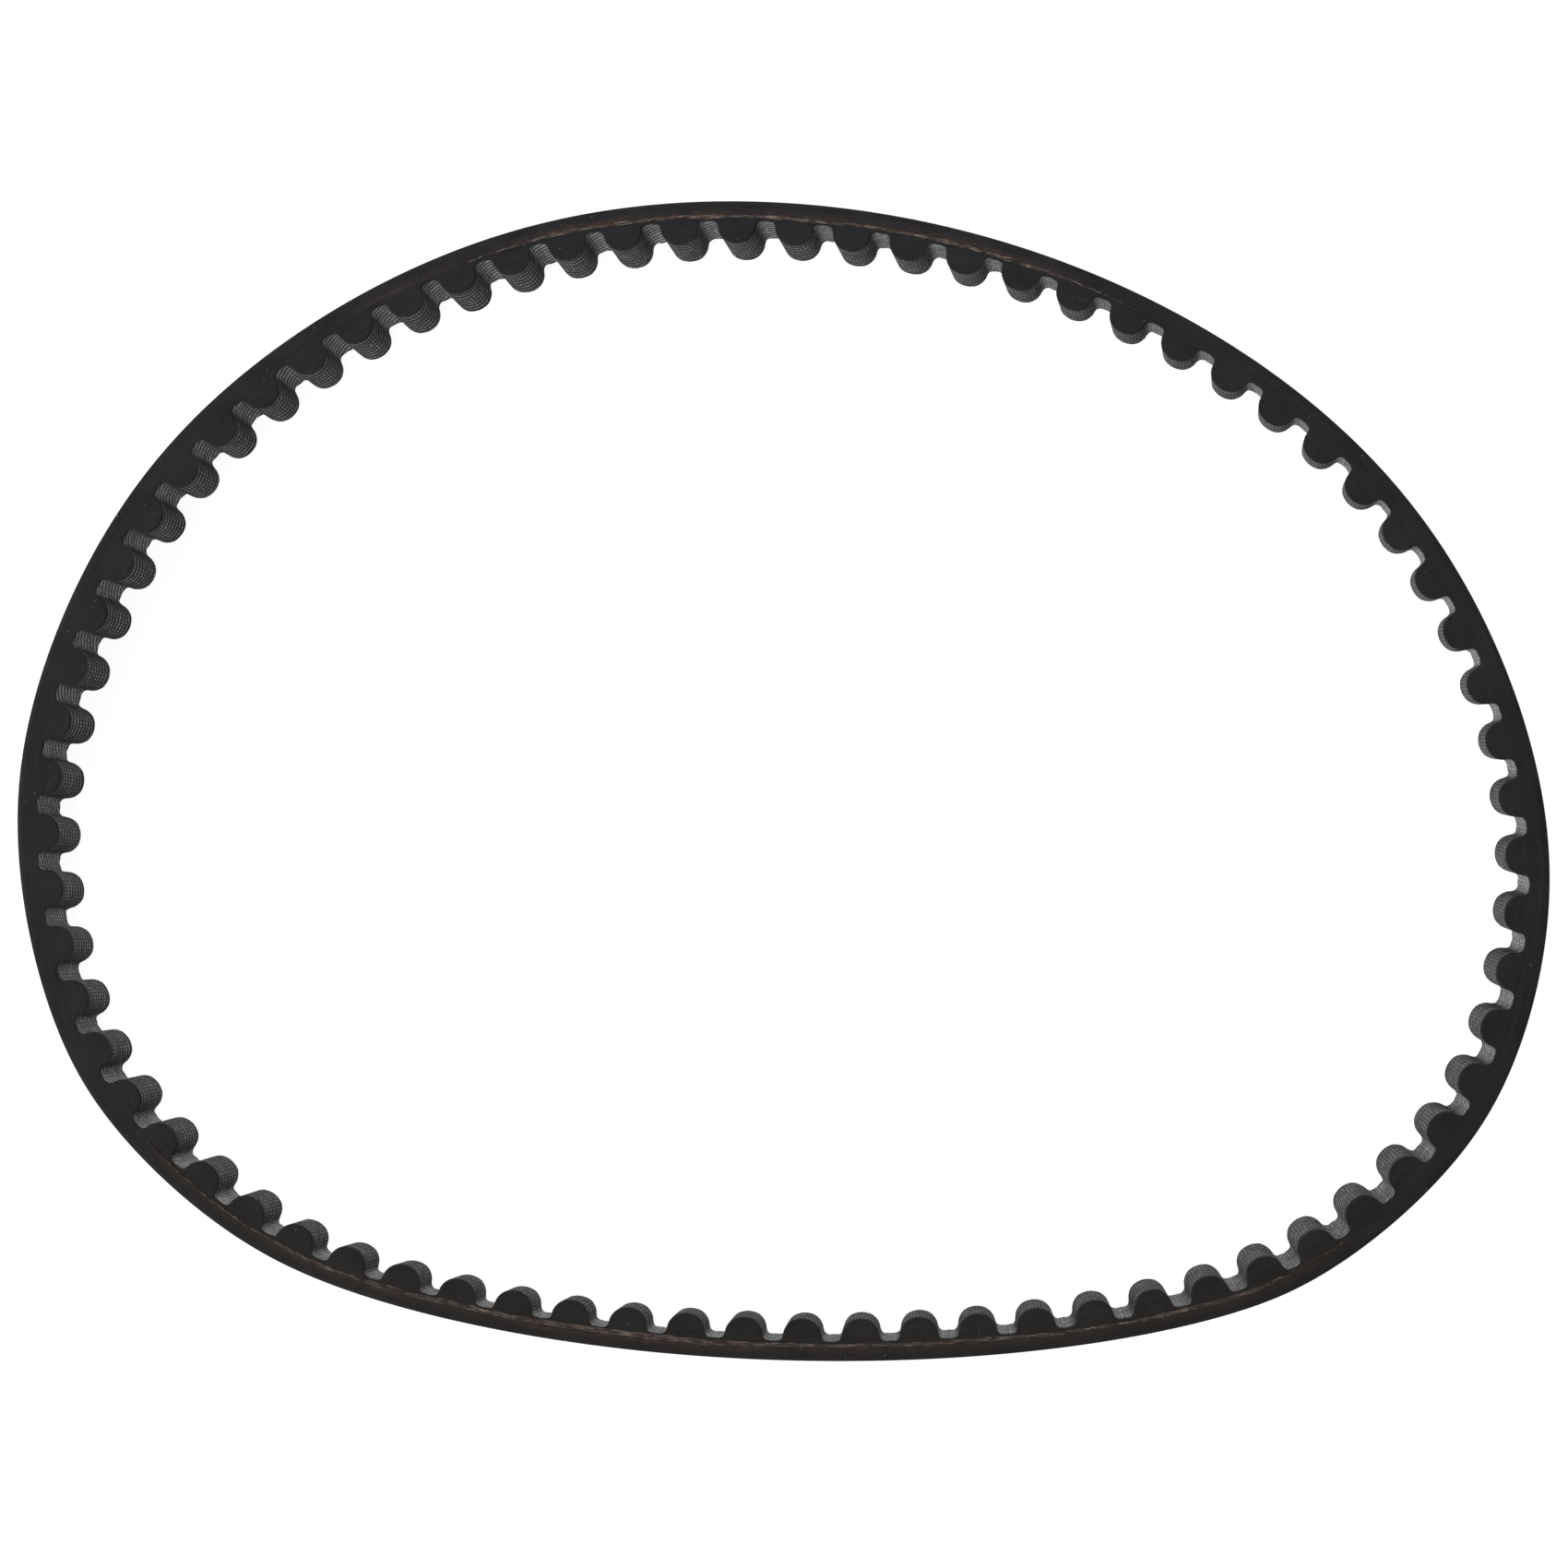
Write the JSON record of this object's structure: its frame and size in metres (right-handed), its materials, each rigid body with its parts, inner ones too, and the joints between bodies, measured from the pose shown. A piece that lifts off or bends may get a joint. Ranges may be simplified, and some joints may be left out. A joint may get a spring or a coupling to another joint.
{
  "type": "timing belt",
  "caption": "Endless round-tooth timing belt as a free loop: rubber backing and teeth, fabric-faced tooth side and wound tensile cords, for positive drive between toothed pulleys.",
  "frame": {"origin": "centre of the loop's box, on the plane of the lower belt edge", "axes": "+Z across the belt's width, from the lower edge to the upper edge; +X along the longest way across the free loop; +Y completes the frame"},
  "size_m": [0.2094, 0.1582, 0.012],
  "materials": {
    "backing_rubber": "matte black moulded back, cut edges matte",
    "tooth_rubber": "matte black, cut edges matte",
    "facing_fabric": "worn dark grey twill, paler on the thread crowns",
    "cord_s": "brown dipped twisted fibre, frayed where it is cut",
    "cord_z": "brown dipped twisted fibre, frayed where it is cut"
  },
  "bodies": {
    "root": {"backing": "backing_rubber", "tooth_rubber": "tooth_rubber", "tooth_facing": "facing_fabric", "tensile_cord_s": "cord_s", "tensile_cord_z": "cord_z"}
  },
  "joints": []
}
